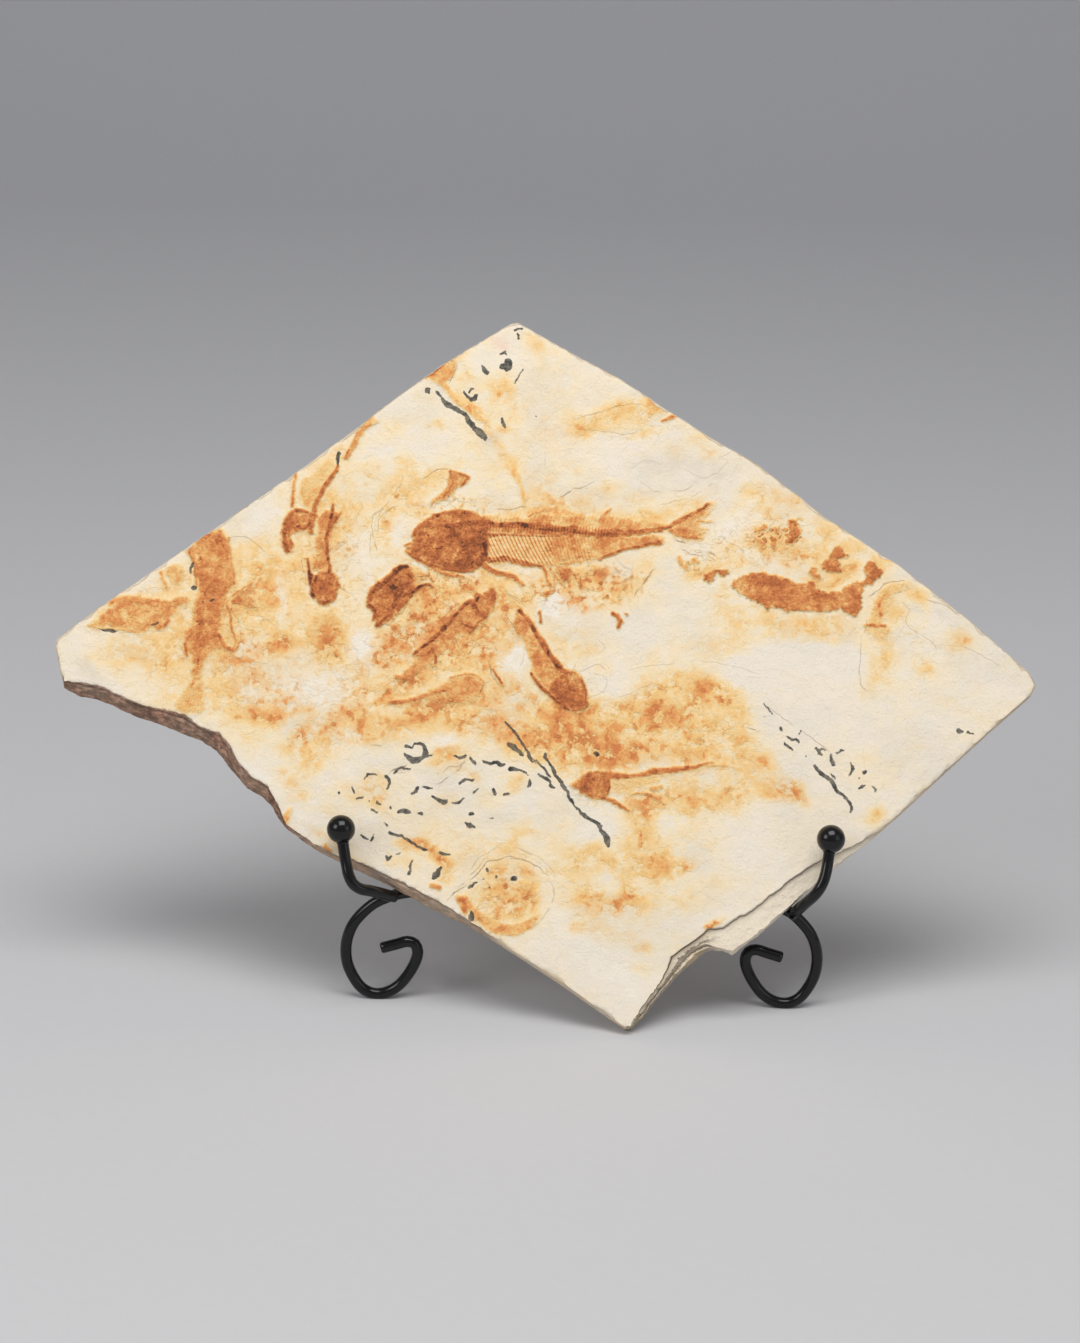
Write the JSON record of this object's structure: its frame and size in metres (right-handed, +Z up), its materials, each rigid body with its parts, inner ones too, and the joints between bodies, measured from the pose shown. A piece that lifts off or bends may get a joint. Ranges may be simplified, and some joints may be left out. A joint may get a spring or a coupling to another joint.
{
  "type": "fossil fish slab",
  "caption": "Thin slab of cream shale with fossil fish, standing on one corner and leaning back on a black wire stand with scroll feet, ball-tipped hooks and a rear leg.",
  "frame": {"origin": "on the floor, under the middle of the whole object's bounding box", "axes": "+X to the slab's right as its fish are looked at, +Y away from the face towards the rear leg, +Z up"},
  "size_m": [0.2992, 0.127, 0.1951],
  "materials": {
    "shale": "matt",
    "black_enamel": "gloss"
  },
  "bodies": {
    "root": {"slab": "shale", "left_scroll_leg": "black_enamel", "right_scroll_leg": "black_enamel", "left_hook": "black_enamel", "right_hook": "black_enamel", "left_ball": "black_enamel", "right_ball": "black_enamel", "rear_leg": "black_enamel"}
  },
  "joints": []
}
